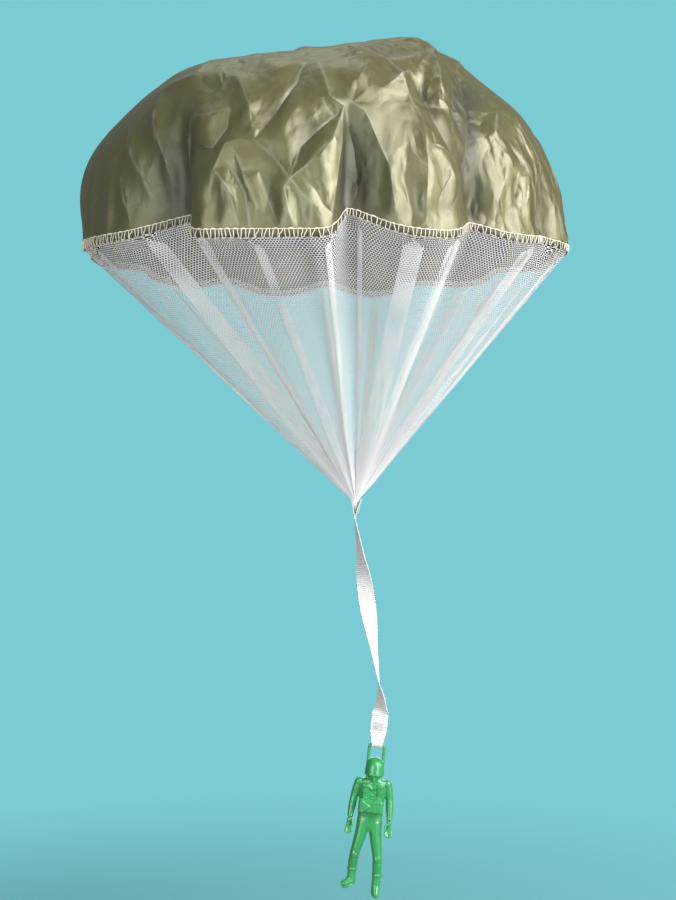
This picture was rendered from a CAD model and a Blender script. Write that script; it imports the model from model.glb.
# %% [markdown]
# # A toy parachute
# The toy is a crumpled olive cloth, a white net sewn to its hem, a white ribbed tape and a green moulded
# figure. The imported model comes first, as a fixed frame. Each piece made below sits where that model has
# it, and takes its place there for the eye. Lengths are in metres. An azimuth is counted from the front
# towards the right.

# %% Load the frame
import math

import bmesh
import bpy
import numpy as np
from mathutils import Matrix, Vector
from mathutils.bvhtree import BVHTree
from mathutils.geometry import delaunay_2d_cdt
from mathutils.kdtree import KDTree


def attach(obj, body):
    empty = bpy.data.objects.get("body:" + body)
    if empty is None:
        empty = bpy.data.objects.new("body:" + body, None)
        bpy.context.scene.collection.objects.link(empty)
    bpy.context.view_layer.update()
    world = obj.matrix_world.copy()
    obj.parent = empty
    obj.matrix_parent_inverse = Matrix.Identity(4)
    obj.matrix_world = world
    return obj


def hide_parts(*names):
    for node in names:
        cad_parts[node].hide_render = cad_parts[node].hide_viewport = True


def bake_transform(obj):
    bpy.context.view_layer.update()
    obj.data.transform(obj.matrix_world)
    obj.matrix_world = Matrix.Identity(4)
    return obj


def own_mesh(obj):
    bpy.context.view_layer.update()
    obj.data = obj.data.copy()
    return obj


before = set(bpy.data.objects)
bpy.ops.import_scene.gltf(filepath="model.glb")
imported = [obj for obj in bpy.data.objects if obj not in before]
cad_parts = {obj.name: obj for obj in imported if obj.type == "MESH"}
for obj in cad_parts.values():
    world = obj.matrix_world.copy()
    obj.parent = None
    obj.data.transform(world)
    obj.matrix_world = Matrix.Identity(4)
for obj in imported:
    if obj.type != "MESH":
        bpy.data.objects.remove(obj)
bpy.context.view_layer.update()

print("nodes:", sorted(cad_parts))

# %% [markdown]
# ## Camera
# The photograph was taken level, from about 88 cm in front of the toy. A lens of 57 mm on Blender's 36 mm
# sensor gives the same size and the same perspective.

# %% Camera
CAMERA_PLACE = (0.008, -0.877, -0.243)
CAMERA_LENS = 57.2
bpy.ops.object.camera_add(location=CAMERA_PLACE, rotation=(math.pi / 2.0, 0.0, 0.0))
camera = bpy.context.object
camera.name = "camera"
camera.data.lens = CAMERA_LENS
bpy.context.scene.camera = camera
bpy.context.scene.view_settings.view_transform = "Standard"
print("camera at", CAMERA_PLACE, "lens", CAMERA_LENS)

# %% [markdown]
# ## A short way to write materials
# A material is a graph of nodes. Written out in full it hides the idea, so two small classes wrap it:
# `Finish` makes every node in one way, and `Wire` is a node's output that can be added, multiplied or
# compared as a number is. An expression such as `1 - mask * 0.5` then makes its own Math nodes.

# %% Wires and finishes


class Wire:
    """A node's output. Sums and products of wires make the Math nodes that they need."""

    def __init__(self, finish, node, output=0):
        self.finish = finish
        self.node = node
        self.output = output

    def socket(self):
        return self.node.outputs[self.output]

    def out(self, name):
        return Wire(self.finish, self.node, name)

    def __add__(self, other):
        return self.finish.sum("ADD", self, other)

    def __sub__(self, other):
        return self.finish.sum("SUBTRACT", self, other)

    def __rsub__(self, other):
        return self.finish.sum("SUBTRACT", other, self)

    def __mul__(self, other):
        return self.finish.sum("MULTIPLY", self, other)

    def __truediv__(self, other):
        return self.finish.sum("DIVIDE", self, other)

    def __pow__(self, other):
        return self.finish.sum("POWER", self, other)

    def __mod__(self, other):
        return self.finish.sum("FLOORED_MODULO", self, other)

    def __abs__(self):
        return self.finish.sum("ABSOLUTE", self)

    def __gt__(self, other):
        return self.finish.sum("GREATER_THAN", self, other)

    def __lt__(self, other):
        return self.finish.sum("LESS_THAN", self, other)

    __radd__ = __add__
    __rmul__ = __mul__


class Finish:
    """A material whose nodes all come from one method."""

    def __init__(self, name):
        self.material = bpy.data.materials.new(name)
        self.material.use_nodes = True
        self.tree = self.material.node_tree
        self.shader = self.tree.nodes["Principled BSDF"]

    def node(self, kind, settings=(), inputs=()):
        """Adds a node: its settings first, then the values or wires of its inputs, by name or number."""
        made = self.tree.nodes.new(kind)
        for name, value in dict(settings).items():
            setattr(made, name, value)
        for name, value in dict(inputs).items():
            self.feed(made.inputs[name], value)
        return Wire(self, made)

    def feed(self, socket, value):
        """Gives a socket a wire, a colour or a plain value."""
        if isinstance(value, Wire):
            self.tree.links.new(value.socket(), socket)
        elif hasattr(value, "__len__") and len(value) == 3 and socket.type == "RGBA":
            socket.default_value = (*value, 1.0)
        else:
            socket.default_value = value

    def sum(self, operation, *values):
        return self.node("ShaderNodeMath", {"operation": operation}, enumerate(values))

    def smooth(self, value, low, high):
        """0 below low, 1 above high, and a soft rise between them."""
        settings = {"interpolation_type": "SMOOTHSTEP"}
        return self.node("ShaderNodeMapRange", settings, enumerate((value, low, high)))

    def blend(self, share, first, second):
        """A colour on the way from the first to the second."""
        mix = self.node("ShaderNodeMix", {"data_type": "RGBA"}, {0: share, 6: first, 7: second})
        return Wire(self, mix.node, 2)

    def place(self):
        return self.node("ShaderNodeTexCoord").out("Object")

    def flat_map(self):
        return self.node("ShaderNodeUVMap", {"uv_map": "flat"})

    def uv(self):
        """The piece's own flat map, in metres, as two wires."""
        split = self.node("ShaderNodeSeparateXYZ", (), {0: self.flat_map()})
        return split.out("X"), split.out("Y")

    def attribute(self, name):
        return self.node("ShaderNodeAttribute", {"attribute_name": name}).out("Fac")

    def noise(self, scale, detail=3.0, roughness=0.5, place=None):
        inputs = {"Vector": place or self.place(), "Scale": scale, "Detail": detail, "Roughness": roughness}
        return self.node("ShaderNodeTexNoise", (), inputs).out("Fac")

    def bump(self, height, distance, strength=1.0, below=None):
        """A relief in the shading alone. It may lie over another one below."""
        inputs = {"Height": height, "Distance": distance, "Strength": strength}
        if below is not None:
            inputs["Normal"] = below
        return self.node("ShaderNodeBump", (), inputs)

    def set(self, **sockets):
        """Feeds the shader's sockets. Base_Color stands for Base Color, and so on."""
        for name, value in sockets.items():
            self.feed(self.shader.inputs[name.replace("_", " ")], value)
        print(f"finish {self.material.name}: {len(self.tree.nodes)} nodes")

    def wear_on(self, obj):
        """Makes this the only material of an object."""
        obj.data.materials.clear()
        obj.data.materials.append(self.material)


# %% [markdown]
# ## Stage
# The toy hangs in the air over a plain pale floor. The floor and the world are pale aqua only where the
# camera sees them. For the light that reaches the toy the floor is grey and the world is a dim, nearly
# white glow, so that the backdrop doesn't tint the cloth. Near the toy the floor keeps its shadow. Further
# out it glows in the world's colour, so no horizon shows.

# %% Stage
FLOOR_HEIGHT = -0.62
FLOOR_RADIUS = 6.0
FLOOR_SIDES = 96
FLOOR_FADE = (0.20, 0.75)
AQUA = (0.20, 0.60, 0.66)
FLOOR_AQUA = (0.15, 0.45, 0.50)
NEUTRAL = (0.30, 0.30, 0.30)
WORLD_COLOUR = (0.84, 0.97, 1.0)
WORLD_LIGHT = 0.15

bpy.ops.mesh.primitive_circle_add(
    vertices=FLOOR_SIDES, radius=FLOOR_RADIUS, fill_type="NGON", location=(0.0, 0.0, FLOOR_HEIGHT)
)
floor = bpy.context.object
floor.name = "floor"
bpy.ops.object.transform_apply(location=True)
stage = Finish("floor")
place = stage.node("ShaderNodeSeparateXYZ", (), {0: stage.place()})
away = (place.out("X") ** 2.0 + place.out("Y") ** 2.0) ** 0.5
glow = stage.node("ShaderNodeEmission", (), {"Color": (*AQUA, 1.0), "Strength": 1.0})
seen = stage.node("ShaderNodeLightPath").out("Is Camera Ray")
stage.set(Base_Color=stage.blend(seen, NEUTRAL, FLOOR_AQUA), Roughness=0.95, Specular_IOR_Level=0.1)
far = stage.smooth(away, *FLOOR_FADE) * seen
mixed = stage.node("ShaderNodeMixShader", (), {0: far, 1: Wire(stage, stage.shader), 2: glow})
stage.tree.links.new(mixed.socket(), stage.tree.nodes["Material Output"].inputs["Surface"])
stage.wear_on(floor)

# %% World
world = bpy.data.worlds.new("studio")
bpy.context.scene.world = world
world.use_nodes = True
tree = world.node_tree
tree.nodes.clear()
seen = tree.nodes.new("ShaderNodeLightPath")
light = tree.nodes.new("ShaderNodeBackground")
light.inputs["Color"].default_value = (*WORLD_COLOUR, 1.0)
light.inputs["Strength"].default_value = WORLD_LIGHT
back = tree.nodes.new("ShaderNodeBackground")
back.inputs["Color"].default_value = (*AQUA, 1.0)
both = tree.nodes.new("ShaderNodeMixShader")
out = tree.nodes.new("ShaderNodeOutputWorld")
tree.links.new(seen.outputs["Is Camera Ray"], both.inputs[0])
tree.links.new(light.outputs[0], both.inputs[1])
tree.links.new(back.outputs[0], both.inputs[2])
tree.links.new(both.outputs[0], out.inputs["Surface"])
print("floor at", FLOOR_HEIGHT, "and world light", WORLD_LIGHT)

# %% [markdown]
# ## Lights
# Satin cloth looks like satin only when it has something bright to mirror. A tall key lamp stands high in
# front on the right, and a narrow one beside the toy draws the edges of the folds. A weaker one in front on
# the left keeps the shade open. Two low ones, just above the floor, whiten the net and the tape, and two
# weak ones behind give the crown and the outline a pale rim. Each is an area lamp that aims at the middle
# of the toy.

# %% Lights
# Each lamp: name, place, width and height in metres, power in watts, colour
LIGHTS = (
    ("key", (0.95, -0.95, 0.62), 0.7, 1.4, 36.0, (1.0, 0.97, 0.96)),
    ("rim", (1.45, -0.10, 0.15), 0.5, 1.0, 9.0, (1.0, 0.93, 0.76)),
    ("fill", (-0.75, -1.30, 0.10), 0.5, 1.0, 7.0, (1.0, 0.98, 0.90)),
    ("low_right", (1.15, -1.20, -0.38), 0.8, 0.4, 8.5, (0.98, 0.98, 1.0)),
    ("low_left", (-0.95, -1.30, -0.36), 0.8, 0.4, 6.0, (0.94, 0.98, 1.0)),
    ("top", (-0.2, 0.9, 1.5), 0.9, 0.9, 3.0, (0.96, 1.0, 0.88)),
    ("back", (0.3, 1.6, -0.20), 1.4, 0.7, 7.0, (0.96, 0.98, 1.0)),
)
AIM = Vector((0.0, 0.0, -0.15))
for name, spot, wide, high, power, colour in LIGHTS:
    bpy.ops.object.light_add(type="AREA", location=spot)
    lamp = bpy.context.object
    lamp.name = name
    lamp.rotation_euler = (AIM - Vector(spot)).to_track_quat("-Z", "Y").to_euler()
    lamp.data.shape = "RECTANGLE"
    lamp.data.size = wide
    lamp.data.size_y = high
    lamp.data.energy = power
    lamp.data.color = colour
print("lamps:", len(LIGHTS))

# %% [markdown]
# ## The inflated form of the canopy
# The canopy is one plain cloth that the air holds up. Its form is a dome a little fuller than an ellipse,
# with main folds that start below the shoulder and run down to the hem, where the net gathers them. A
# formula gives it, so that the cloth, its seam and the net can all ask for the same place.

# %% Form of the canopy
CANOPY_RADIUS = 0.1485
CANOPY_HEIGHT = 0.1280
FULLNESS = 2.22
FULLNESS_SWING = 0.10
LOBE_SWELL = 0.0040
FOLD_DEPTH = 0.0150
FOLD_START = 0.30
HEM_TUCK = 0.0050
HEM_DROOP = 0.0085
HEM_RISE = 0.0060
SEAM_WIDTH = 0.0036

# Each fold: azimuth, depth as a share of the deepest, and its width on either side, in degrees
FOLDS = (
    (-150, 0.70, 9, 7),
    (-118, 0.60, 8, 9),
    (-84, 0.25, 6, 6),
    (-32, 1.00, 13, 3.2),
    (5.5, 1.00, 3.0, 9),
    (35, 0.60, 5, 6),
    (62, 0.45, 6, 6),
    (90, 0.20, 6, 6),
    (122, 0.70, 8, 9),
    (152, 0.60, 9, 7),
    (180, 0.80, 7, 8),
)
# Where the cloth is pushed out or in as a whole: azimuth, share of a quarter turn, distance
PUSHES = (
    (75, 0.24, 0.008), (-20, 0.18, -0.010), (-90, 0.45, -0.009), (-90, 0.78, 0.007), (-90, 1.0, -0.0065),
    (90, 0.53, -0.008), (90, 1.0, -0.003),
)
PUSH_SPREAD = 0.0340


# %% Folds


def smooth_step(value):
    held = np.clip(value, 0.0, 1.0)
    return held * held * (3.0 - 2.0 * held)


def fold_weight(azimuth_deg):
    """How far an azimuth lies inside a main fold: 0 on a lobe's back, 1 at the bottom of the deepest."""
    found = np.zeros_like(azimuth_deg)
    for place, depth, before, after in FOLDS:
        apart = (azimuth_deg - place + 180.0) % 360.0 - 180.0
        width = np.where(apart < 0.0, before, after)
        found = np.maximum(found, depth * np.exp(-((apart / width) ** 2)))
    return found


# %% Points of the dome


def dome_point(azimuth_deg, turn):
    azimuth = math.radians(azimuth_deg)
    outward = CANOPY_RADIUS * math.sin(turn) ** (2.0 / FULLNESS)
    upward = CANOPY_HEIGHT * (math.cos(turn) ** (2.0 / FULLNESS) - 1.0)
    return np.array((outward * math.sin(azimuth), -outward * math.cos(azimuth), upward))


def push_at(points):
    """How far the cloth is pushed off the smooth dome at each point."""
    focus = np.array((0.0, 0.0, -CANOPY_HEIGHT))
    total = np.zeros_like(points)
    for azimuth_deg, share, distance in PUSHES:
        centre = dome_point(azimuth_deg, share * math.pi / 2.0)
        near = np.exp(-np.sum((points - centre) ** 2, axis=-1) / (2.0 * PUSH_SPREAD**2))
        total += (centre - focus) / np.linalg.norm(centre - focus) * (distance * near)[..., None]
    return total


def canopy_points(azimuth_deg, turn):
    """Points of the canopy's outer face. The turn runs from 0 at the crown to a quarter turn at the hem."""
    azimuth = np.radians(azimuth_deg)
    power = 2.0 / (FULLNESS - FULLNESS_SWING * np.sin(azimuth))
    outward = np.maximum(np.sin(turn), 0.0) ** power
    upward = np.maximum(np.cos(turn), 0.0) ** power
    fold = fold_weight(azimuth_deg)
    started = smooth_step((1.0 - upward - FOLD_START) / (1.0 - FOLD_START))
    near_hem = (1.0 - upward) ** 2
    radius = CANOPY_RADIUS * outward + started * (LOBE_SWELL * (1.0 - fold) - FOLD_DEPTH * fold)
    radius -= HEM_TUCK * near_hem * started
    z = CANOPY_HEIGHT * (upward - 1.0)
    z -= near_hem * HEM_DROOP * np.cos(azimuth) ** 2 * (1.0 - fold)
    z += near_hem * HEM_RISE * fold * (1.0 + np.cos(azimuth)) / 2.0
    points = np.stack((radius * np.sin(azimuth), -radius * np.cos(azimuth), z), axis=-1)
    crown_push = push_at(np.zeros(3))[2]
    return points + push_at(points) - np.array((0.0, 0.0, crown_push))


# %% Places by their share of the way down
# The turn at which a given share of the cloth's length from crown to hem is reached
fine = np.linspace(0.0, math.pi / 2.0, 400)
across = CANOPY_RADIUS * np.sin(fine) ** (2.0 / FULLNESS)
down = CANOPY_HEIGHT * (1.0 - np.cos(fine) ** (2.0 / FULLNESS))
run = np.concatenate([[0.0], np.cumsum(np.hypot(np.diff(across), np.diff(down)))])
CLOTH_REACH = float(run[-1])


def turn_at(share):
    return np.interp(share * CLOTH_REACH, run, fine)


def on_dome(azimuth_deg, share):
    """A point of the form by its azimuth and its share of the way from the crown to the hem."""
    return canopy_points(np.asarray(azimuth_deg, float), turn_at(np.asarray(share, float)))


print(f"the cloth is {2000 * CLOTH_REACH:.0f} mm across when it is laid flat")

# %% [markdown]
# ## Creases
# The cloth has been folded up small many times. Each line that shows in the photograph is placed on the
# flat cloth one by one. It lifts the cloth to a sharp ridge, or sinks it to a sharp valley, and the cloth
# curves away smoothly on both sides. Shorter lines in random places do the same on the rest of the cloth,
# and plates with a random lift, blurred, add the soft folds between them.

# %% Placed creases
# Each line: its lift in mm, below zero for a valley, then its places as (azimuth, share of the way from
# crown to hem)
CREASES = (
    (2.2, ((-46, 0.62), (-44, 0.70), (-40, 0.79), (-36, 0.90))),
    (1.2, ((-52, 0.72), (-48, 0.80), (-44, 0.86), (-41, 0.93))),
    (1.0, ((-50, 0.86), (-47, 0.97))),
    (2.6, ((-47, 0.60), (-41, 0.59), (-36, 0.58), (-38, 0.52))),
    (2.8, ((-31, 0.73), (-26, 0.72), (-21.5, 0.70))),
    (1.6, ((-31, 0.73), (-32, 0.80), (-30.5, 0.88), (-29, 0.97))),
    (-2.4, ((-21.5, 0.70), (-21.5, 0.75), (-24, 0.80), (-30, 0.81))),
    (1.4, ((-29.5, 0.54), (-25, 0.63))),
    (2.4, ((-24, 0.58), (-20.5, 0.62), (-16.5, 0.70), (-14.5, 0.79))),
    (-2.0, ((-5.5, 0.53), (-6.5, 0.62), (-10.5, 0.71), (-14.5, 0.79))),
    (2.4, ((-14.5, 0.79), (-17.5, 0.79), (-20.5, 0.80), (-22.5, 0.86))),
    (-2.2, ((-14.5, 0.79), (-10.5, 0.82), (-6.5, 0.88))),
    (-3.2, ((4, 0.73), (-1, 0.76), (-4.5, 0.80), (-6.5, 0.88))),
    (2.6, ((4.5, 0.72), (1.5, 0.80), (-3, 0.85), (-6.5, 0.88))),
    (2.8, ((-6.5, 0.88), (-2.5, 0.93), (0, 0.97))),
    (2.6, ((-6.5, 0.88), (-7.5, 0.90), (-6.5, 0.95), (-5.5, 0.98))),
    (2.4, ((-1.5, 0.53), (0.5, 0.61), (1.5, 0.68), (4.5, 0.72))),
    (3.4, ((4.5, 0.72), (3, 0.81), (2, 0.90), (1.5, 0.97))),
    (-3.0, ((5.5, 0.76), (7, 0.83), (7.5, 0.90), (6.5, 0.97))),
    (3.0, ((5.5, 0.70), (9.5, 0.73), (12.5, 0.81), (14.5, 0.86), (15.5, 0.95), (16, 0.98))),
    (2.4, ((-22.5, 0.86), (-19, 0.90), (-17, 0.97))),
    (-2.4, ((-20, 0.84), (-15.5, 0.91), (-14.5, 0.98))),
    (1.8, ((-18.5, 0.81), (-16.5, 0.86), (-13, 0.94))),
    (-2.0, ((-13, 0.86), (-11, 0.92), (-9, 0.97))),
    (2.6, ((12.5, 0.55), (9.5, 0.61), (7, 0.66))),
    (3.0, ((6, 0.42), (12, 0.48), (17.5, 0.54), (20.5, 0.60), (21, 0.66), (22.5, 0.73))),
    (-2.6, ((26.5, 0.58), (25.5, 0.65), (21, 0.66))),
    (2.4, ((17.5, 0.54), (27.5, 0.50), (38, 0.46), (47, 0.40))),
    (-2.6, ((28, 0.56), (27, 0.64), (26.5, 0.71), (29, 0.80))),
    (2.6, ((34.5, 0.53), (31.5, 0.60), (29, 0.68))),
    (-2.2, ((39.5, 0.57), (35, 0.66), (31.5, 0.74))),
    (-5.0, ((50, 0.50), (43, 0.60), (38.5, 0.70), (35, 0.81), (34.5, 0.88))),
    (1.8, ((22.5, 0.73), (22, 0.82), (21.5, 0.89), (21, 0.97))),
    (-1.6, ((18.5, 0.80), (17, 0.87), (18, 0.94))),
    (1.6, ((25, 0.75), (26, 0.80), (27.5, 0.86), (25, 0.90))),
    (-2.0, ((24.5, 0.94), (28, 0.93), (31.5, 0.90))),
    (2.6, ((48.5, 0.66), (43.5, 0.73), (40, 0.78))),
    (1.8, ((44.5, 0.77), (44, 0.84), (41, 0.91), (40, 0.97))),
    (-2.2, ((37, 0.84), (37, 0.91), (36.5, 0.97))),
    (2.2, ((57, 0.58), (54, 0.70), (56.5, 0.80), (61, 0.84))),
    (-2.8, ((64, 0.82), (60, 0.89), (56.5, 0.97))),
    (1.8, ((50, 0.74), (51, 0.82), (49, 0.92))),
    (2.0, ((66, 0.55), (70, 0.66), (74, 0.78), (78, 0.88))),
)
CREASE_FLANK = 0.0060
CREASE_FLANK_GROWTH = 3.6
CREASE_END_SHARE = 0.45
CREASE_END_REACH = 0.010
# Scattered plates: seed, size across and along in mm, lift in mm
PLATES = (3, 26, 40, 2.6)
PLATES_SOFTNESS = 0.0070
SCATTERED_SEED = 41
SCATTERED_COUNT = 210
SCATTERED_HEIGHTS = (0.7, 2.3)
SCATTERED_LENGTHS = (0.05, 0.17)


# %% Places on the flat cloth


def flat_place(azimuth_deg, share):
    azimuth = math.radians(azimuth_deg)
    return Vector((math.sin(azimuth), -math.cos(azimuth))) * (share * CLOTH_REACH)


def liveliness_at(spot):
    """How crumpled the flat cloth is at a place: calm on the left, lively on the right."""
    azimuth = math.degrees(math.atan2(spot.x, -spot.y))
    share = spot.length / CLOTH_REACH
    left = math.exp(-(((azimuth + 58.0) / 24.0) ** 2)) * float(smooth_step((share - 0.35) / 0.2))
    middle = math.exp(-(((azimuth + 12.0) / 20.0) ** 2)) * float(smooth_step((share - 0.45) / 0.2))
    panel = math.exp(-(((azimuth - 15.0) / 8.0) ** 2 + ((share - 0.74) / 0.13) ** 2))
    crown = math.exp(-(((share - 0.30) / 0.22) ** 2))
    right = math.exp(-(((azimuth - 48.0) / 24.0) ** 2))
    calm = (1.0 - 0.90 * left) * (1.0 - 0.45 * middle) * (1.0 - 0.60 * panel) * (1.0 - 0.10 * crown)
    return calm * (1.0 + 0.5 * right)


# %% Scattered creases


def scattered_creases():
    """Short bent creases in random places, mostly along the cloth's fall, and few among the placed ones."""
    rng = np.random.default_rng(SCATTERED_SEED)
    found = []
    while len(found) < SCATTERED_COUNT:
        azimuth = rng.uniform(-180.0, 180.0)
        share = math.sqrt(rng.uniform(0.01, 0.88))
        if abs(azimuth) < 75.0 and share > 0.42 and rng.random() < 0.62:
            continue
        height = rng.uniform(*SCATTERED_HEIGHTS) * rng.choice((-1.0, 1.0))
        height *= liveliness_at(flat_place(azimuth, share))
        lean = rng.normal(0.0, 38.0)
        places = [(azimuth, share)]
        for _ in range(3):
            step = rng.uniform(*SCATTERED_LENGTHS) / 3.0
            azimuth += math.degrees(step * math.sin(math.radians(lean)) / max(share, 0.15))
            share += step * math.cos(math.radians(lean))
            places.append((azimuth, min(share, 0.97)))
            lean += rng.normal(0.0, 20.0)
        found.append((height, tuple(places)))
    return tuple(found)


# %% Plates with a random lift


class PlateNet:
    """A net of triangles over the flat cloth, whose points are lifted by random amounts."""

    def __init__(self, scatter):
        seed, size_across, size_along, lift = scatter
        self.rng = np.random.default_rng(seed)
        spots = self.scatter(size_across * 0.001, size_along * 0.001)
        lifts = [self.rng.uniform(-1.0, 1.0) * lift * 0.001 * liveliness_at(spot) for spot in spots]
        corners, _, faces, sources, _, _ = delaunay_2d_cdt(spots, [], [], 0, 1e-7)
        raised = [lifts[source[0]] for source in sources]
        self.tree = BVHTree.FromPolygons([(v.x, v.y, z) for v, z in zip(corners, raised)], faces)

    def scatter(self, size_across, size_along):
        reach = size_along * 0.5
        found = []
        while reach < CLOTH_REACH + 2.0 * size_along:
            count = max(5, round(2.0 * math.pi * min(reach, CANOPY_RADIUS) / size_across))
            start = self.rng.random()
            for k in range(count):
                turn = 2.0 * math.pi * (k + start + self.rng.uniform(-0.38, 0.38)) / count
                away = reach + self.rng.uniform(-0.42, 0.42) * size_along
                found.append(Vector((away * math.sin(turn), -away * math.cos(turn))))
            reach += size_along
        return found

    def lift_at(self, x, y):
        hit = self.tree.ray_cast(Vector((x, y, 1.0)), Vector((0.0, 0.0, -1.0)))
        return hit[0].z if hit[0] is not None else 0.0


class SoftNet:
    """The same net, rounded off: its lifts are blurred on a grid and read between the grid's places."""

    CELLS = 120

    def __init__(self, scatter, softness):
        plates = PlateNet(scatter)
        self.reach = CLOTH_REACH * 1.1
        side = np.linspace(-self.reach, self.reach, self.CELLS)
        lifts = np.array([[plates.lift_at(x, y) for x in side] for y in side])
        spread = softness / (side[1] - side[0])
        around = np.arange(-math.ceil(3.0 * spread), math.ceil(3.0 * spread) + 1)
        weights = np.exp(-(around**2) / (2.0 * spread**2))
        weights /= weights.sum()
        for axis in (0, 1):
            lifts = np.apply_along_axis(np.convolve, axis, lifts, weights, "same")
        self.lifts = lifts

    def lifts_at(self, flat):
        place = (flat + self.reach) / (2.0 * self.reach) * (self.CELLS - 1)
        low = np.clip(np.floor(place).astype(int), 0, self.CELLS - 2)
        x, y = (place - low).T
        column, row = low.T
        upper = self.lifts[row, column] * (1.0 - x) + self.lifts[row, column + 1] * x
        lower = self.lifts[row + 1, column] * (1.0 - x) + self.lifts[row + 1, column + 1] * x
        return upper * (1.0 - y) + lower * y


# %% Lift of the creases


def placed_lifts(flat):
    """How far the creases lift each point: most on the line, falling off beside it, less at its ends."""
    total = np.zeros(len(flat))
    for height, places in ALL_CREASES:
        spots = np.array([flat_place(*place) for place in places])
        steps = np.linalg.norm(np.diff(spots, axis=0), axis=1)
        length = steps.sum()
        flank = CREASE_FLANK + CREASE_FLANK_GROWTH * abs(height) * 0.001
        nearest = np.full(len(flat), 1.0)
        along_there = np.zeros(len(flat))
        gone = 0.0
        for start, end, step in zip(spots, spots[1:], steps):
            along = np.clip((flat - start) @ (end - start) / step**2, 0.0, 1.0)
            apart = np.linalg.norm(flat - start - along[:, None] * (end - start), axis=1)
            closer = apart < nearest
            nearest = np.where(closer, apart, nearest)
            along_there = np.where(closer, gone + along * step, along_there)
            gone += step
        to_end = np.minimum(along_there, length - along_there)
        end_share = CREASE_END_SHARE + (1.0 - CREASE_END_SHARE) * smooth_step(to_end / CREASE_END_REACH)
        total += height * 0.001 * end_share * np.maximum(0.0, 1.0 - nearest / flank) ** 2
    return total


ALL_CREASES = CREASES + scattered_creases()
plates = SoftNet(PLATES, PLATES_SOFTNESS)
print(f"creases: {len(CREASES)} placed, {SCATTERED_COUNT} scattered")

# %% [markdown]
# ## The cloth
# The cloth is a flat disc of small triangles, and every crease is an edge of them, so it stays sharp. The
# disc's points come from a square grid whose rings are pressed round, because that gives even cells all
# over and many points along the hem, where the folds are tightest. Each point is then lifted to its place
# on the inflated form and moved along the cloth's normal.

# %% Cloth
CLOTH_CELLS = 184
CLOTH_THICKNESS = 0.00025
CREASE_STEP = 0.0010
NEAR_CREASE = 0.0007
HEM_LIMIT_SHARE = 0.985
PUCKER_WAVES = ((31, 0.5), (47, 0.6), (61, 0.6), (83, 0.3))
PUCKER_HEIGHT = 0.0010
PUCKER_REACH = 0.026
HEM_CALM = 0.012
HEM_FLARE = 0.0016
HEM_FLARE_REACH = 0.016
PUCKER_PHASE = 1.7
HEM_KEEP = 0.12
SLOPE_STEP = 0.004
SLOPE_STEP_DEG = 0.5

# %% Small helpers for meshes


def read_points(mesh):
    points = np.zeros(len(mesh.vertices) * 3, np.float32)
    mesh.vertices.foreach_get("co", points)
    return points.reshape(-1, 3).astype(float)


def write_points(mesh, points):
    mesh.vertices.foreach_set("co", np.asarray(points, np.float32).ravel())
    mesh.update()


def give_flat_map(mesh, flat):
    """Stores each point's place on the flat cloth, in metres, as the UV map 'flat'."""
    layer = mesh.uv_layers.get("flat") or mesh.uv_layers.new(name="flat")
    corners = np.zeros(len(mesh.loops), np.int32)
    mesh.loops.foreach_get("vertex_index", corners)
    layer.data.foreach_set("uv", np.asarray(flat, np.float32)[corners].ravel())


def give_attribute(mesh, name, values):
    layer = mesh.attributes.get(name) or mesh.attributes.new(name, "FLOAT", "POINT")
    layer.data.foreach_set("value", np.asarray(values, np.float32))


def deselect():
    bpy.ops.object.select_all(action="DESELECT")


def make_active(obj):
    deselect()
    obj.select_set(True)
    bpy.context.view_layer.objects.active = obj


def merge_points(distance):
    """Joins the points of the active mesh that lie closer together than the distance."""
    bpy.ops.object.mode_set(mode="EDIT")
    bpy.ops.mesh.select_all(action="SELECT")
    bpy.ops.mesh.remove_doubles(threshold=distance)
    bpy.ops.object.mode_set(mode="OBJECT")


def apply_modifiers(obj):
    make_active(obj)
    for modifier in list(obj.modifiers):
        bpy.ops.object.modifier_apply(modifier=modifier.name)


# %% The flat disc and its creases


def disc_points(cells):
    """The points of a square grid whose square rings are pressed into round ones, on a disc of radius 1."""
    side = np.linspace(-1.0, 1.0, cells + 1)
    a, b = (grid.ravel() for grid in np.meshgrid(side, side))
    wide = np.abs(a) > np.abs(b)
    reach = np.where(wide, a, b)
    other = np.where(wide, b, a)
    turn = math.pi / 4.0 * np.divide(other, reach, out=np.zeros_like(reach), where=np.abs(reach) > 1e-9)
    x = np.where(wide, reach * np.cos(turn), reach * np.sin(turn))
    y = np.where(wide, reach * np.sin(turn), reach * np.cos(turn))
    return np.stack((x, y), axis=-1)


def crease_edges():
    """Points and edges of the creases inside the hem. An edge that leaves the cloth is cut there."""
    limit = CLOTH_REACH * HEM_LIMIT_SHARE
    pairs = []
    for _, places in ALL_CREASES:
        line = [flat_place(*place) for place in places]
        pairs += list(zip(line, line[1:]))
    spots, edges = [], []
    for start, end in pairs:
        if start.length > end.length:
            start, end = end, start
        if start.length > limit:
            continue
        if end.length > limit:
            way = end - start
            along = start.dot(way)
            room = along * along + way.length_squared * (limit * limit - start.length_squared)
            end = start + way * ((math.sqrt(max(room, 0.0)) - along) / way.length_squared)
        if (end - start).length > NEAR_CREASE:
            edges.append((len(spots), len(spots) + 1))
            spots += [start, end]
    return spots, edges


# %% Inflating the cloth


def form_with_normals(azimuth, share):
    """The smooth form's points and outward normals."""
    points = on_dome(azimuth, share)
    low = np.clip(share, SLOPE_STEP, 1.0 - SLOPE_STEP)
    down = on_dome(azimuth, low + SLOPE_STEP) - on_dome(azimuth, low - SLOPE_STEP)
    around = on_dome(azimuth + SLOPE_STEP_DEG, low) - on_dome(azimuth - SLOPE_STEP_DEG, low)
    normals = np.cross(down, around)
    normals[share < 2.0 * SLOPE_STEP] = (0.0, 0.0, 1.0)
    return points, normals / np.linalg.norm(normals, axis=1)[:, None]


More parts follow.
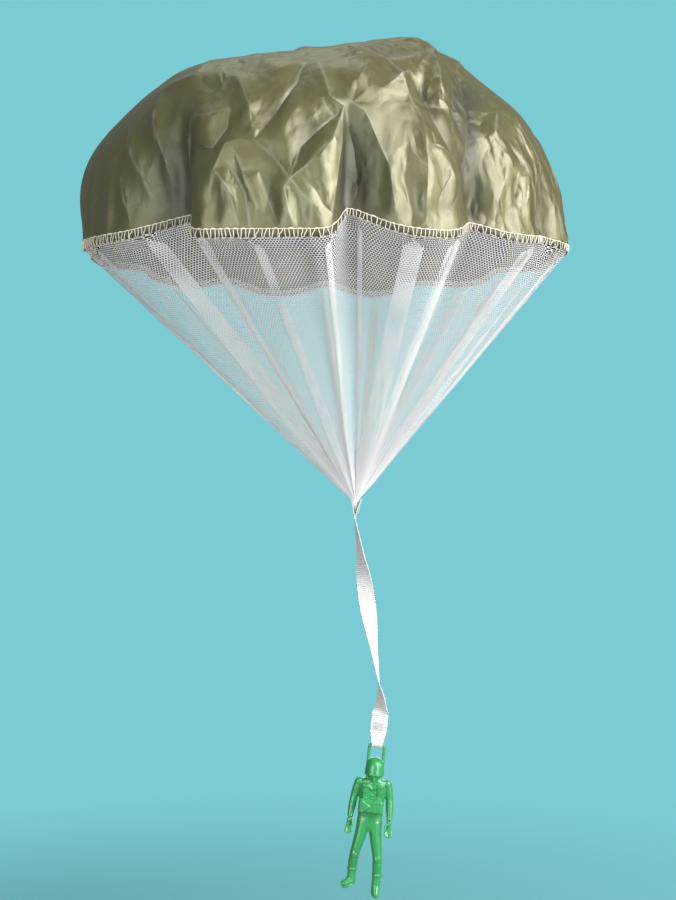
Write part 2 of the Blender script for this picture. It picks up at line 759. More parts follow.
def cloth_points(flat):
    """Where the points of the flat cloth lie once it is inflated, with its creases."""
    share = np.clip(np.hypot(flat[:, 0], flat[:, 1]) / CLOTH_REACH, 0.0, 1.0)
    azimuth = np.degrees(np.arctan2(flat[:, 0], -flat[:, 1]))
    points, normals = form_with_normals(azimuth, share)
    lift = plates.lifts_at(flat) + placed_lifts(flat)
    hem_distance = (1.0 - share) * CLOTH_REACH
    pucker = np.zeros(len(flat))
    for number, (waves, size) in enumerate(PUCKER_WAVES):
        pucker += size * np.sin(np.radians(azimuth) * waves + number * PUCKER_PHASE)
    lift += pucker * PUCKER_HEIGHT * np.exp(-hem_distance / PUCKER_REACH)
    lift *= HEM_KEEP + (1.0 - HEM_KEEP) * smooth_step(hem_distance / HEM_CALM)
    lift += HEM_FLARE * smooth_step(1.0 - hem_distance / HEM_FLARE_REACH)
    return points + normals * lift[:, None]


# %% Mesh of the cloth
spots, edges = crease_edges()
near = KDTree(sum(2 + int((spots[j] - spots[i]).length / CREASE_STEP) for i, j in edges))
for i, j in edges:
    steps = 1 + int((spots[j] - spots[i]).length / CREASE_STEP)
    for k in range(steps + 1):
        near.insert(spots[i].lerp(spots[j], k / steps).to_3d(), 0)
near.balance()
grid = disc_points(CLOTH_CELLS) * CLOTH_REACH
on_hem = np.hypot(grid[:, 0], grid[:, 1]) > CLOTH_REACH * 0.9999
kept = [hem or near.find((x, y, 0.0))[2] > NEAR_CREASE for (x, y), hem in zip(grid, on_hem)]
grid_spots = [Vector(place) for place in grid[kept]]
shifted = [(i + len(grid_spots), j + len(grid_spots)) for i, j in edges]
verts, made_edges, faces, _, sources, _ = delaunay_2d_cdt(grid_spots + spots, shifted, [], 0, 1e-7)
flat = np.array([(v.x, v.y) for v in verts])
points = cloth_points(flat)
cloth_mesh = bpy.data.meshes.new("cloth")
cloth_mesh.from_pydata([tuple(p) for p in points], [], [tuple(f) for f in faces])
cloth_mesh.update()
cloth = bpy.data.objects.new("cloth", cloth_mesh)
bpy.context.scene.collection.objects.link(cloth)

# %% [markdown]
# A crease is drawn sharp where the cloth really bends there. How far it bends is also kept as an attribute,
# so that the finish can rub the cloth paler along its creases. Three more say how lively the cloth is, how
# near the crown it lies, where handling has dulled it, and how deep it lies in a fold, where little light
# gets in.

# %% Sharp creases
SHARP_DEG = 6.0
WORN_DEG = (14.0, 46.0)
CROWN_DULL = (0.12, 0.34)
FOLD_DEEP = 1.3
FOLD_DEEP_FROM = 0.55
FOLD_DEEP_OVER = 0.35
BAND_DEEP = 0.7
BAND_DEEP_OVER = 0.0008
VALLEY_DEEP = 320.0
VALLEY_DEEP_FROM = 0.0008
bm = bmesh.new()
bm.from_mesh(cloth_mesh)
bm.verts.ensure_lookup_table()
on_crease = {tuple(sorted(pair)) for pair, source in zip(made_edges, sources) if source}
worn = np.zeros(len(bm.verts))
for face in bm.faces:
    face.smooth = True
sharp_count = 0
for edge in bm.edges:
    pair = tuple(sorted(v.index for v in edge.verts))
    if pair in on_crease and len(edge.link_faces) == 2:
        angle = math.degrees(edge.calc_face_angle(0.0))
        bent = smooth_step((angle - WORN_DEG[0]) / (WORN_DEG[1] - WORN_DEG[0]))
        if angle > SHARP_DEG:
            edge.smooth = False
            sharp_count += 1
            for index in pair:
                worn[index] = max(worn[index], bent)
bm.to_mesh(cloth_mesh)
bm.free()
print(f"creases: {len(on_crease)} edges, of which {sharp_count} are sharp")

# %% Attributes for the finish
give_attribute(cloth_mesh, "worn", worn)
give_attribute(cloth_mesh, "lively", [liveliness_at(Vector(place)) for place in flat])
share = np.hypot(flat[:, 0], flat[:, 1]) / CLOTH_REACH
dulled = 1.0 - smooth_step((share - CROWN_DULL[0]) / (CROWN_DULL[1] - CROWN_DULL[0]))
give_attribute(cloth_mesh, "crown", dulled)
azimuth = np.degrees(np.arctan2(flat[:, 0], -flat[:, 1]))
in_fold = fold_weight(azimuth) * smooth_step((share - FOLD_DEEP_FROM) / FOLD_DEEP_OVER)
in_band = smooth_step((share - 1.0 + SEAM_WIDTH / CLOTH_REACH) * CLOTH_REACH / BAND_DEEP_OVER)
in_valley = np.maximum(-placed_lifts(flat) - VALLEY_DEEP_FROM, 0.0)
deep = BAND_DEEP * in_band + in_fold**1.5 * FOLD_DEEP + in_valley * VALLEY_DEEP
give_attribute(cloth_mesh, "deep", np.clip(deep, 0.0, 1.0))
give_flat_map(cloth_mesh, flat)

# %% [markdown]
# The seam, the net and the threads need to know where the hem went. The hem and the seam's upper edge are
# both kept as rings of points by azimuth.

# %% Hem
RING_COUNT = 4 * CLOTH_CELLS
RING_AZIMUTHS = (np.arange(RING_COUNT) / RING_COUNT * 360.0) - 180.0


def cloth_ring(share):
    turn = np.radians(RING_AZIMUTHS)
    reach = share * CLOTH_REACH
    return cloth_points(np.stack((reach * np.sin(turn), -reach * np.cos(turn)), axis=-1))


HEM_POINTS = cloth_ring(1.0)
UPPER_POINTS = cloth_ring(1.0 - SEAM_WIDTH / CLOTH_REACH)


# %% Places along the hem


def ring_at(azimuths, ring_points):
    """Points of a closed ring at the azimuths asked for."""
    around = np.concatenate([RING_AZIMUTHS, [180.0]])
    closed = np.vstack([ring_points, ring_points[:1]])
    wanted = (np.asarray(azimuths) + 180.0) % 360.0 - 180.0
    return np.stack([np.interp(wanted, around, closed[:, k]) for k in range(3)], axis=-1)


def hem_at(azimuths):
    return ring_at(azimuths, HEM_POINTS)


def upper_at(azimuths):
    return ring_at(azimuths, UPPER_POINTS)


def seam_out(azimuths):
    """The outward direction of the hem band at each azimuth."""
    around = hem_at(np.asarray(azimuths) + 1.0) - hem_at(np.asarray(azimuths) - 1.0)
    downward = hem_at(azimuths) - upper_at(azimuths)
    outward = np.cross(downward, around)
    return outward / np.linalg.norm(outward, axis=1)[:, None]


# %% [markdown]
# ## The cloth's finish
# Olive taffeta is woven of two slightly different yarns, so it is dull where it is seen square on and
# bright where it mirrors a lamp. A dark base with a share of metal and a high index gives that sheen, and
# it fades on the handled crown. Creases are a little paler and rougher, and the bottoms of folds are
# darker. The weave is a fine bump on the cloth's own flat map, so it follows every fold. Over it lie bumps
# for the crumples that are too small to model.

# %% Cloth finish
OLIVE = (0.152, 0.154, 0.056)
OLIVE_PALE = (0.262, 0.258, 0.180)
OLIVE_DEEP = (0.124, 0.110, 0.048)
FOLD_SHADE = (0.040, 0.037, 0.018)
YARN = 0.00045
CRUMPLE_SHARE = 0.13
PLATE_SWAY = 0.012
taffeta = Finish("canopy_cloth")
u, v = taffeta.uv()
worn = taffeta.attribute("worn")
crown = taffeta.attribute("crown")
deep = taffeta.attribute("deep")
patches = taffeta.noise(14.0, 3.0, 0.55)
tone = taffeta.blend(patches, OLIVE_DEEP, OLIVE)
tone = taffeta.blend(worn * 0.7, tone, OLIVE_PALE)
tone = taffeta.blend(deep * 0.8, tone, FOLD_SHADE)
warp = taffeta.sum("SINE", u * (2.0 * math.pi / YARN))
weft = taffeta.sum("SINE", v * (2.0 * math.pi / YARN))
weave = (warp * weft) * 0.5 + 0.5
slub = taffeta.node(
    "ShaderNodeTexNoise",
    {"noise_dimensions": "2D"},
    {"Vector": taffeta.flat_map(), "Scale": 260.0, "Detail": 4.0, "Roughness": 0.6},
).out("Fac")
wrinkle = taffeta.noise(95.0, 4.0, 0.6)

# %% Small crumples of the cloth


def crumple(finish, size, seed, below):
    """Long bent creases with smooth cloth between: a soft random field, folded over at its middle."""
    inputs = {"Vector": finish.place(), "Location": (seed, seed, seed), "Scale": (1.0, 1.0, 0.55)}
    field = finish.noise(1.0 / size, 1.0, 0.4, finish.node("ShaderNodeMapping", (), inputs))
    height = abs(field - 0.5) * finish.attribute("lively")
    return finish.bump(height, size * CRUMPLE_SHARE, 1.0, below)


def small_plates(finish, size, seed, slope, below):
    """Roofs with straight edges between scattered points. A soft field turns some of them upside down."""
    place = finish.place()
    waver = finish.node("ShaderNodeTexNoise", (), {"Vector": place, "Scale": 24.0, "Detail": 1.0})
    inputs = {0: waver.out("Color"), 1: (PLATE_SWAY,) * 3, 2: place}
    swayed = finish.node("ShaderNodeVectorMath", {"operation": "MULTIPLY_ADD"}, inputs)
    inputs = {"Vector": swayed, "Location": (seed, seed, seed), "Scale": (1.0, 1.0, 0.6)}
    spot = finish.node("ShaderNodeMapping", (), inputs)
    inputs = {"Vector": spot, "Scale": 1.0 / size}
    roof = finish.node("ShaderNodeTexVoronoi", {"feature": "DISTANCE_TO_EDGE"}, inputs).out("Distance")
    side = (finish.noise(1.3 / size, 0.0, 0.0, spot) - 0.5) * 4.0
    return finish.bump(roof * side * finish.attribute("lively"), size * slope, 1.0, below)


relief = taffeta.bump(weave, 0.00003)
broad = crumple(taffeta, 0.034, 3.1, relief)
middling = small_plates(taffeta, 0.019, 5.3, 0.22, broad)
close = small_plates(taffeta, 0.009, 1.9, 0.12, middling)
fine_wrinkles = taffeta.bump(wrinkle + slub * 0.35, 0.0006, 0.35, close)
taffeta.set(
    Base_Color=tone,
    Roughness=0.29 + worn * 0.08 + slub * 0.06 + deep * 0.22 + crown * 0.30,
    Normal=fine_wrinkles,
    Metallic=0.35 - crown * 0.32,
    IOR=1.95,
    Sheen_Weight=0.06,
    Sheen_Roughness=0.4,
)
taffeta.wear_on(cloth)

# %% The cloth's wall and its place in the toy
wall = cloth.modifiers.new("Wall", "SOLIDIFY")
wall.thickness = CLOTH_THICKNESS
wall.offset = -1.0
apply_modifiers(cloth)
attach(cloth, "parachute")
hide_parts("canopy_cloth")

# %% [markdown]
# ## The overlock seam
# Three cream threads join the net to the hem. The needle thread runs along the seam's upper edge in small
# arched stitches. Each looper thread goes down over its own face to the hem, along it and up again, which
# leaves pairs of rungs. No two stitches are quite alike.

# %% Seam threads
STITCH_PITCH = 0.0044
THREAD_RADIUS = 0.00024
THREAD_LIFT = 0.00030
LOOPER_WANDER = 0.3
NET_ROOM = 0.0012
STITCH_SEED = 23
STITCH_WANDER = 0.15


def thread_tube(name, points):
    """A thread: a round tube along a closed run of points."""
    curve = bpy.data.curves.new(name, "CURVE")
    curve.dimensions = "3D"
    curve.bevel_depth = THREAD_RADIUS
    curve.bevel_resolution = 1
    spline = curve.splines.new("POLY")
    spline.points.add(len(points) - 1)
    spline.points.foreach_set("co", np.column_stack([points, np.ones(len(points))]).ravel())
    spline.use_cyclic_u = True
    made = bpy.data.objects.new(name, curve)
    bpy.context.scene.collection.objects.link(made)
    make_active(made)
    bpy.ops.object.convert(target="MESH")
    bpy.ops.object.shade_smooth()
    return made


def seam_place(azimuths, share, out):
    """Points over the hem band: share runs from its upper edge to the hem, out is away from the cloth."""
    azimuths = np.asarray(azimuths, float)
    share = np.asarray(share, float)[:, None]
    line = upper_at(azimuths) * (1.0 - share) + hem_at(azimuths) * share
    return line + seam_out(azimuths) * np.asarray(out, float)[:, None]


# %% Needle thread
closed_hem = np.vstack([HEM_POINTS, HEM_POINTS[:1]])
hem_length = float(np.linalg.norm(np.diff(closed_hem, axis=0), axis=1).sum())
stitches = round(hem_length / STITCH_PITCH)
rng = np.random.default_rng(STITCH_SEED)
stitch = np.arange(stitches)
wander = rng.uniform(-STITCH_WANDER, STITCH_WANDER, (stitches, 3))

# One stitch of the needle thread: share of the pitch, and lift
NEEDLE_STEPS = ((0.0, 0.4), (0.15, 1.0), (0.5, 1.5), (0.85, 1.0))
along = np.concatenate([stitch + share for share, _ in NEEDLE_STEPS])
lift = np.concatenate([np.full(stitches, out) for _, out in NEEDLE_STEPS]) * THREAD_LIFT
order = np.argsort(along, kind="stable")
azimuths = along[order] / stitches * 360.0 - 180.0
needle = thread_tube("needle_stitches", seam_place(azimuths, np.zeros(len(order)), lift[order]))
print(f"hem {hem_length * 1000:.0f} mm long, {stitches} stitches")

# %% Looper threads
# One stitch of a looper: share of the pitch, share of the way down, lift, and which random number moves it
LOOPER_STEPS = (
    (0.00, -0.04, 1.1, 0),
    (0.02, 0.30, 1.2, 0),
    (0.04, 0.75, 1.2, 1),
    (0.06, 1.03, 0.7, 1),
    (0.22, 1.06, 0.2, 1),
    (0.38, 1.03, 0.7, 2),
    (0.42, 0.70, 1.3, 2),
    (0.50, 0.25, 1.2, 0),
    (0.56, -0.05, 1.0, 0),
    (0.80, -0.09, 0.8, 0),
)


def looper(name, side, start):
    """A looper thread: side 1 is over the cloth's outer face and -1 over the net inside."""
    along, down, out = [], [], []
    for share, depth, height, which in LOOPER_STEPS:
        along.append(stitch + start + share + wander[:, which])
        down.append(np.full(stitches, depth) + wander[:, which] * LOOPER_WANDER)
        above = height * THREAD_LIFT
        out.append(np.full(stitches, above if side > 0 else -NET_ROOM - above))
    along, down, out = (np.array(values).T.ravel() for values in (along, down, out))
    return thread_tube(name, seam_place(along / stitches * 360.0 - 180.0, down, out))


upper_looper = looper("upper_looper_stitches", 1, 0.0)
lower_looper = looper("lower_looper_stitches", -1, 0.5)
print("looper places in a stitch:", len(LOOPER_STEPS))

# %% Thread finish
CREAM = (0.80, 0.77, 0.64)
CREAM_DARK = (0.72, 0.69, 0.55)
SEAM_THREADS = (
    (needle, "needle_thread"),
    (upper_looper, "upper_looper_thread"),
    (lower_looper, "lower_looper_thread"),
)
cotton = Finish("thread")
fuzz = cotton.noise(2600.0, 2.0, 0.6)
cotton.set(
    Base_Color=cotton.blend(fuzz, CREAM_DARK, CREAM),
    Roughness=0.72,
    Normal=cotton.bump(fuzz, 0.0001, 0.5),
)
for obj, node_name in SEAM_THREADS:
    cotton.wear_on(obj)
    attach(obj, "parachute")
    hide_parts(node_name)

# %% [markdown]
# ## The net
# The net is a white hexagonal mesh. It is as wide as the hem is long and gathered to a point, so further
# down more and more of it lies in pleats. A pleat is one S in the net: it goes forwards, back over itself
# and forwards again, which puts three layers over each other. Here the flat net's own width runs through a
# leaning sine wave, whose lean grows as the cone narrows.

# %% Net
NET_DROP = 0.1448
NECK_SHIFT = 0.0184
NECK_FOLD_HEIGHT = 0.0120
NECK_FOLD_SPREAD = 0.0072
TAPE_THICKNESS = 0.0006
NET_INSIDE = 0.0009
NET_MOUTH_RADIUS = 0.0026
NET_TIP_RADIUS = 0.0004
NET_TIP_HEIGHT = 0.0020
NET_COLUMNS = 720
NET_ROWS = 58
NET_LAID_ROW = 12
BAND_ROWS = 3
TIP_ROWS = 3
NET_PLEATS = 36
NET_SEED = 17
NET_LAYERS = 3.2
MAIN_PLEATS_DEG = (-47, -22, 2, 23, 33, 54, 130, -130, 170)
MAIN_PLEAT_HEAD = 2.4
MAIN_PLEAT_LEAN = 1.1
PLEAT_WIDTHS = (0.45, 1.6)
PLEAT_LEANS = (0.55, 1.25)
PLEAT_HEAD = 1.5
PLEAT_DEPTH = 0.0009
PLEAT_DEPTH_SHARES = (0.5, 1.2)
PLEAT_START_SHARE = 0.035
PLEAT_END_FADE = 12.0
NECK = Vector((NECK_SHIFT, 0.0, -CANOPY_HEIGHT - NET_DROP - NECK_FOLD_HEIGHT))

# %% Pleats of the net
rng = np.random.default_rng(NET_SEED)
pleat_widths = rng.uniform(*PLEAT_WIDTHS, NET_PLEATS)
pleat_edges = np.concatenate([[0.0], np.cumsum(pleat_widths)]) / pleat_widths.sum()
pleat_lean = rng.uniform(*PLEAT_LEANS, NET_PLEATS) * np.where(rng.random(NET_PLEATS) < 0.5, -1.0, 1.0)
pleat_head = rng.uniform(0.0, 1.0, NET_PLEATS) ** 2 * PLEAT_HEAD
pleat_depth = rng.uniform(*PLEAT_DEPTH_SHARES, NET_PLEATS) * PLEAT_DEPTH
for azimuth_deg in MAIN_PLEATS_DEG:
    main = int(np.searchsorted(pleat_edges, (azimuth_deg + 180.0) / 360.0)) - 1
    pleat_head[main] = MAIN_PLEAT_HEAD
    pleat_lean[main] = math.copysign(MAIN_PLEAT_LEAN, pleat_lean[main])

columns = np.arange(NET_COLUMNS + 1) / NET_COLUMNS
pleat = np.clip(np.searchsorted(pleat_edges, columns, side="right") - 1, 0, NET_PLEATS - 1)
width_share = pleat_edges[pleat + 1] - pleat_edges[pleat]
within = (columns - pleat_edges[pleat]) / width_share
wave = np.sin(2.0 * math.pi * within)
print("pleats:", NET_PLEATS, "of which main ones:", len(MAIN_PLEATS_DEG))

# %% [markdown]
# The net's first rows lie flat against the inside of the hem band. The next ones run straight to the mouth
# of the tape's fold, and the last ones draw in to the tip inside it.

# %% Rows of the net
mouth = np.array((NECK.x, 0.0, NECK.z + NECK_FOLD_HEIGHT))
tip = np.array((NECK.x, 0.0, NECK.z + NET_TIP_HEIGHT))
rows = []
gathers = []
for row in range(NET_ROWS + 1):
    share_down = min(max(0.0, (row - BAND_ROWS) / (NET_ROWS - BAND_ROWS - TIP_ROWS)), 1.0)
    radius_share = 1.0 - share_down * (1.0 - NET_MOUTH_RADIUS / CANOPY_RADIUS)
    fullness = min(1.0 / radius_share, NET_LAYERS)
    started = smooth_step(share_down / PLEAT_START_SHARE)
    lean = pleat_lean * (fullness - 1.0 + pleat_head * started) / (2.0 * math.pi)
    moved = columns + lean[pleat] * width_share * wave
    turn = moved * 360.0 - 180.0
    top = hem_at(turn)
    outward = top * np.array((1.0, 1.0, 0.0))
    outward /= np.linalg.norm(outward, axis=1)[:, None]
    if row <= BAND_ROWS:
        band = row / BAND_ROWS
        line = upper_at(turn) * (1.0 - band) + top * band - seam_out(turn) * NET_INSIDE
    else:
        line = (top - seam_out(turn) * NET_INSIDE) * (1.0 - share_down)
        angle = np.radians(turn)
        ring = np.stack((np.sin(angle), -np.cos(angle), np.zeros_like(angle)), axis=-1)
        line = line + (mouth + ring * NET_MOUTH_RADIUS) * share_down
        if row > NET_ROWS - TIP_ROWS:
            into = (row - (NET_ROWS - TIP_ROWS)) / TIP_ROWS
            radius = NET_MOUTH_RADIUS + (NET_TIP_RADIUS - NET_MOUTH_RADIUS) * into
            line = (mouth * (1.0 - into) + tip * into) + ring * radius
    depth = pleat_depth[pleat] * wave * started * min(1.0, radius_share * PLEAT_END_FADE)
    rows.append(line + outward * depth[:, None])
    gathers.append(np.full(NET_COLUMNS + 1, (1.0 / radius_share) / fullness))
print("rows of the net:", len(rows))

# %% Mesh of the net
# The net's own width is measured below its gathered head, where the pleats are fully laid
laid_row = np.array(rows[NET_LAID_ROW])
net_columns = np.concatenate([[0.0], np.cumsum(np.linalg.norm(np.diff(laid_row, axis=0), axis=1))])
net_length = 0.0
lengths = [0.0]
for upper, lower in zip(rows, rows[1:]):
    net_length += float(np.median(np.linalg.norm(lower - upper, axis=1)))
    lengths.append(net_length)
deselect()
bpy.ops.mesh.primitive_grid_add(x_subdivisions=NET_COLUMNS, y_subdivisions=NET_ROWS, size=2.0)
net = bpy.context.object
net.name = "net"
net.data.name = "net"
square = read_points(net.data)
column = np.rint((square[:, 0] + 1.0) / 2.0 * NET_COLUMNS).astype(int)
row = np.rint((1.0 - square[:, 1]) / 2.0 * NET_ROWS).astype(int)
write_points(net.data, np.array(rows)[row, column])
give_flat_map(net.data, np.stack((net_columns[column], -np.array(lengths)[row]), axis=-1))
give_attribute(net.data, "gather", np.array(gathers)[row, column])
merge_points(0.00001)
bpy.ops.object.shade_smooth()

# %% [markdown]
# ## The net's finish
# Each hole is a hexagon 1.6 mm across. The pattern is worked out on the flat net: two staggered grids of
# points, the hexagon round the nearer point, and how far from its middle the place is. Where the net is
# gathered, its holes close up, so the strands take more of the width there.

# %% Net finish
HOLE_PITCH = 0.00160
STRAND_SHARE = 0.225
tulle = Finish("net")
u, v = tulle.uv()
tall = math.sqrt(3.0)
x, y = u / HOLE_PITCH, v / HOLE_PITCH
first_x, first_y = x % 1.0 - 0.5, y % tall - tall / 2.0
second_x, second_y = (x - 0.5) % 1.0 - 0.5, (y - tall / 2.0) % tall - tall / 2.0
nearer = (first_x * first_x + first_y * first_y) < (second_x * second_x + second_y * second_y)
local_x = abs(first_x * nearer + second_x * (1.0 - nearer))
local_y = abs(first_y * nearer + second_y * (1.0 - nearer))
from_middle = tulle.sum("MAXIMUM", local_x, local_x * 0.5 + local_y * (tall / 2.0))
gather = tulle.attribute("gather")
strand = STRAND_SHARE * gather
mask = from_middle > (0.5 - strand * 0.5)
tulle.set(Base_Color=(0.93, 0.95, 0.97), Roughness=0.5, Alpha=mask)
tulle.wear_on(net)
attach(net, "parachute")
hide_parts("net_skirt")
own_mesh(net)

# %% [markdown]
# ## The tape
# The tape is one ribbed ribbon. Its upper end is folded up round the net's tip, it hangs and turns on the
# way down, and its lower end goes round the figure's bar and up again. Each length is a flat grid that is
# moved to its route and pressed into ribs, which lie across the tape. It is cut in the middle of each stiff
# length, so that each piece bends over one joint only.

# %% Tape
TAPE_WIDTH = 0.0100
TAPE_LENGTH = 0.1210
TAPE_LEAN_DEG = 8.4
TAPE_SETTLE_SHARE = 0.86
TAPE_TURN_SHARES = (0.0, 0.20, 0.42, 0.64, 0.84, 0.97, 1.0)
TAPE_TURNS_DEG = (0.0, -28.0, -92.0, -150.0, -178.0, -222.0, -266.0)
TAPE_BEND_SHARE = 0.47
FIGURE_TILT_DEG = 5.8
FIGURE_YAW_DEG = -4.0
LOOP_HEIGHT = 0.0190
LOOP_FREE_END = 0.0030
LOOP_CLOSE = 0.0080
LOOP_OPENING = 0.0072
BAR_RADIUS = 0.0010
SEAT_GAP = 0.0003
RIB_PITCH = 0.00125
RIB_HEIGHT = 0.00020
RIB_STEPS = 8
RIBBON_COLUMNS = 12
RIBBON_WALL = 0.00042
# The upper tape begins this share of its length inside the fold
UPPER_TUCK = 0.006
UPPER_CUT = 0.235
LOWER_CUT = 0.735
FORWARD = Vector((0.0, 1.0, 0.0))
ROUTE_STEPS = 72
LOOP_START_SHARE = 0.9
LOOP_STEPS = 11
RIB_EDGE_POWER = 8
RIBBON_SMOOTH_DEG = 50.0


# %% Route of the tape


def tape_direction(share):
    settled = float(smooth_step((share - TAPE_SETTLE_SHARE) / (1.0 - TAPE_SETTLE_SHARE)))
    lean = math.radians(TAPE_LEAN_DEG - (TAPE_LEAN_DEG + FIGURE_TILT_DEG) * settled)
    return Vector((math.sin(lean), 0.0, -math.cos(lean)))


def tape_point(share):
    steps = max(1, round(share * ROUTE_STEPS))
    point = NECK.copy()
    for step in range(steps):
        point += tape_direction(share * (step + 0.5) / steps) * (TAPE_LENGTH * share / steps)
    return point


def tape_across(share):
    turn = math.radians(float(np.interp(share, TAPE_TURN_SHARES, TAPE_TURNS_DEG)))
    return FORWARD * math.cos(turn) + tape_direction(share).cross(FORWARD) * math.sin(turn)


def hang(start, end, count):
    """Stations down the hanging tape: middle, sideways direction and width."""
    return [(tape_point(s), tape_across(s), TAPE_WIDTH) for s in np.linspace(start, end, count)]


# %% Loop round the figure's bar
lean_right = Matrix.Rotation(math.radians(FIGURE_TILT_DEG), 3, "Y")
tilt = lean_right @ Matrix.Rotation(math.radians(FIGURE_YAW_DEG), 3, "Z")
BAR = tape_point(1.0) - tilt @ Vector((0.0, 0.0, LOOP_HEIGHT))


def loop_stations():
    """Stations from the hanging tape's end down, round the bar and up the other side."""
    hug = BAR_RADIUS + SEAT_GAP + TAPE_THICKNESS / 2.0
    apart = (TAPE_THICKNESS + SEAT_GAP) / 2.0
    lean = math.atan2(hug - apart, LOOP_CLOSE)
    middle = (LOOP_HEIGHT + LOOP_CLOSE) / 2.0
    places = [(apart, LOOP_HEIGHT * LOOP_START_SHARE), (apart, middle), (apart, LOOP_CLOSE)]
    places += [(hug * math.cos(t), hug * math.sin(t)) for t in np.linspace(lean, -math.pi - lean, LOOP_STEPS)]
    places += [(-apart, LOOP_CLOSE), (-apart, middle), (-apart, LOOP_HEIGHT - LOOP_FREE_END)]
    found = []
    for y, z in places:
        drawn_in = LOOP_OPENING - 2.0 * SEAT_GAP
        width = drawn_in + (TAPE_WIDTH - drawn_in) * float(smooth_step(z / LOOP_CLOSE))
        found.append((BAR + tilt @ Vector((0.0, y, z)), tilt @ Vector((1.0, 0.0, 0.0)), width))
    return found


# %% Ribbed ribbon


def ribbon(name, stations):
    """A length of ribbed tape along its stations."""
    middles = np.array([tuple(middle) for middle, _, _ in stations])
    sides = np.array([tuple(side) for _, side, _ in stations])
    widths = np.array([width for _, _, width in stations])
    run = np.concatenate([[0.0], np.cumsum(np.linalg.norm(np.diff(middles, axis=0), axis=1))])
    length = float(run[-1])
    rows = max(8, round(length / RIB_PITCH * RIB_STEPS))
    wanted = np.linspace(0.0, length, rows + 1)
    centre = np.stack([np.interp(wanted, run, middles[:, k]) for k in range(3)], axis=-1)
    side = np.stack([np.interp(wanted, run, sides[:, k]) for k in range(3)], axis=-1)
    side /= np.linalg.norm(side, axis=1)[:, None]
    width = np.interp(wanted, run, widths)
    out = np.cross(np.gradient(centre, axis=0), side)
    out /= np.linalg.norm(out, axis=1)[:, None]
    deselect()
    bpy.ops.mesh.primitive_grid_add(x_subdivisions=rows, y_subdivisions=RIBBON_COLUMNS, size=2.0)
    made = bpy.context.object
    made.name = name
    made.data.name = name
    square = read_points(made.data)
    row = np.rint((square[:, 0] + 1.0) / 2.0 * rows).astype(int)
    across = square[:, 1] / 2.0
    edge = (2.0 * np.abs(across)) ** RIB_EDGE_POWER
    rib = np.abs(np.sin(math.pi * wanted[row] / RIB_PITCH)) * (1.0 - edge)
    points = centre[row] + side[row] * (across * width[row])[:, None] + out[row] * (rib * RIB_HEIGHT)[:, None]
    write_points(made.data, points)
    give_flat_map(made.data, np.stack((wanted[row], across * TAPE_WIDTH), axis=-1))
    wall = made.modifiers.new("Wall", "SOLIDIFY")
    wall.thickness = RIBBON_WALL
    wall.offset = 0.0
    apply_modifiers(made)
    bpy.ops.object.shade_smooth_by_angle(angle=math.radians(RIBBON_SMOOTH_DEG))
    return made, length


# %% Four lengths of tape
# The fold's places: sideways and upwards shares of its spread and height, and how far the crease lifts it
FOLD_PLACES = (
    (-0.35, 0.60, 0.0),
    (-0.22, 0.32, 0.0),
    (-0.09, 0.12, 0.4),
    (0.0, 0.0, 1.0),
    (0.12, 0.12, 0.4),
    (0.50, 0.50, 0.0),
    (1.05, 0.95, 0.0),
)
fold_stations = []
for x, z, lift in FOLD_PLACES:
    offset = Vector((x * NECK_FOLD_SPREAD / 2.0, 0.0, z * NECK_FOLD_HEIGHT + lift * TAPE_THICKNESS))
    fold_stations.append((NECK + offset, FORWARD, TAPE_WIDTH))
neck_fold, neck_fold_length = ribbon("neck_fold", fold_stations)
upper_tape, upper_length = ribbon("upper_tape", hang(-UPPER_TUCK, UPPER_CUT, 30))
middle_tape, middle_length = ribbon("middle_tape", hang(UPPER_CUT, LOWER_CUT, 60))
lower_tape, lower_length = ribbon("lower_tape", hang(LOWER_CUT, 1.0, 40) + loop_stations())
tape_length = neck_fold_length + upper_length + middle_length + lower_length
print(f"tape: {1000 * tape_length:.0f} mm in four pieces")

# %% Tape finish
TAPE_YARN = 0.0004
TAPE_WHITE = (0.74, 0.74, 0.75)
TAPE_BRIGHT = (0.78, 0.78, 0.80)
GROOVE_GREY = (0.34, 0.34, 0.36)
grosgrain = Finish("tape")
u, v = grosgrain.uv()
yarn = grosgrain.sum("SINE", v * (2.0 * math.pi / TAPE_YARN)) * 0.5 + 0.5
groove = 1.0 - abs(grosgrain.sum("SINE", u * (math.pi / RIB_PITCH)))
speck = grosgrain.noise(700.0, 3.0, 0.6)
tone = grosgrain.blend(groove**2.0 * 0.8, TAPE_WHITE, GROOVE_GREY)
tone = grosgrain.blend(speck * 0.25, tone, TAPE_BRIGHT)
grosgrain.set(Base_Color=tone, Roughness=0.62, Normal=grosgrain.bump(yarn * 0.5 + speck * 0.5, 0.00006, 0.6))
for obj in (neck_fold, upper_tape, middle_tape, lower_tape):
    grosgrain.wear_on(obj)

# %% [markdown]
# The fold turns with the net's tip. Each of the other three lengths bends from the part above it to the
# part below it. The middle one bends within a centimetre of its joint, and the lower one twists all the way
# to the figure.

# %% How the tape moves
UPPER_BLEND_SHARE = 0.14
TWIST_START_SHARE = 0.745
bend = tape_point(TAPE_BEND_SHARE)
twist = tape_point(1.0)
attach(neck_fold, "neck")
tuple(tape_point(UPPER_BLEND_SHARE))
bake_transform(upper_tape)
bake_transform(middle_tape)
tuple(tape_point(TWIST_START_SHARE))
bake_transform(lower_tape)
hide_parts("tape_neck_fold")
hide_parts("tape_upper", "tape_lower")
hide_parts("tape_loop")
print("bend of the tape at", [round(value, 4) for value in bend])

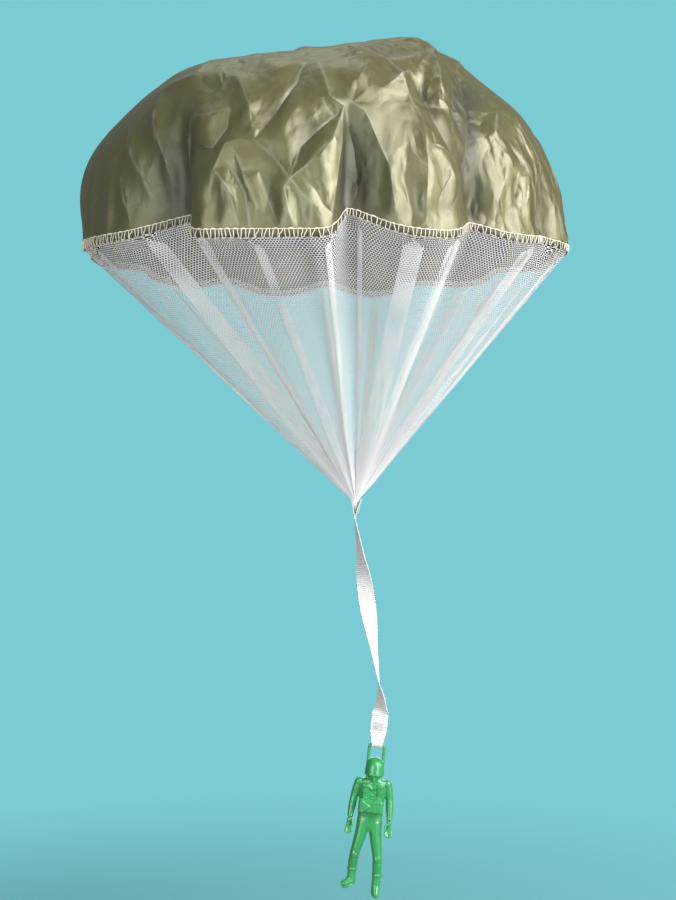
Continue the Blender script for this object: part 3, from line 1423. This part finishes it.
# %% Tack threads
TACK_WHITE = (0.80, 0.80, 0.80)
TACK_BRIGHT = (0.88, 0.88, 0.89)
white_thread = Finish("tack_thread")
strand_tone = white_thread.blend(white_thread.noise(1800.0), TACK_WHITE, TACK_BRIGHT)
white_thread.set(Base_Color=strand_tone, Roughness=0.6)
for node_name in ("neck_tack_thread", "loop_tack_thread"):
    white_thread.wear_on(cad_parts[node_name])

# %% [markdown]
# ## The figure
# The figure is one glossy moulding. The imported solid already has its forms, which are fused sharply to one
# another. A mould can't do that: every inner corner is filled a little. So the solid's mesh is merged,
# rebuilt from fine voxels and smoothed, which rounds each corner as the mould does.

# %% Figure
FIGURE_VOXEL = 0.00030
SOFT_FACTOR = 0.5
SOFT_ROUNDS = 5
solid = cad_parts["figure"]
figure = solid.copy()
figure.data = solid.data.copy()
figure.name = "moulded_figure"
figure.data.name = "moulded_figure"
figure.parent = None
figure.matrix_world = solid.matrix_world.copy()
bpy.context.scene.collection.objects.link(figure)
make_active(figure)
bpy.ops.object.transform_apply(location=True, rotation=True, scale=True)
merge_points(0.000001)
voxels = figure.modifiers.new("Voxels", "REMESH")
voxels.mode = "VOXEL"
voxels.voxel_size = FIGURE_VOXEL
soft = figure.modifiers.new("Soft", "CORRECTIVE_SMOOTH")
soft.factor = SOFT_FACTOR
soft.iterations = SOFT_ROUNDS
soft.smooth_type = "SIMPLE"
soft.use_only_smooth = True
apply_modifiers(figure)
bpy.ops.object.shade_smooth()
print("figure:", len(figure.data.polygons), "faces")

# %% Figure finish
GREEN = (0.008, 0.26, 0.066)
GREEN_PALE = (0.024, 0.33, 0.092)
plastic = Finish("figure_plastic")
mottle = plastic.noise(420.0, 1.0, 0.5)
haze = plastic.noise(60.0, 2.0, 0.5)
plastic.set(
    Base_Color=plastic.blend(haze, GREEN, GREEN_PALE),
    Roughness=0.22 + haze * 0.12,
    Normal=plastic.bump(mottle, 0.00006, 0.15),
    IOR=1.60,
    Coat_Weight=0.7,
    Coat_Roughness=0.40,
    Subsurface_Weight=0.08,
    Subsurface_Radius=(0.4, 1.0, 0.4),
    Subsurface_Scale=0.0008,
)
plastic.wear_on(figure)
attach(figure, "figure")
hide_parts("figure")
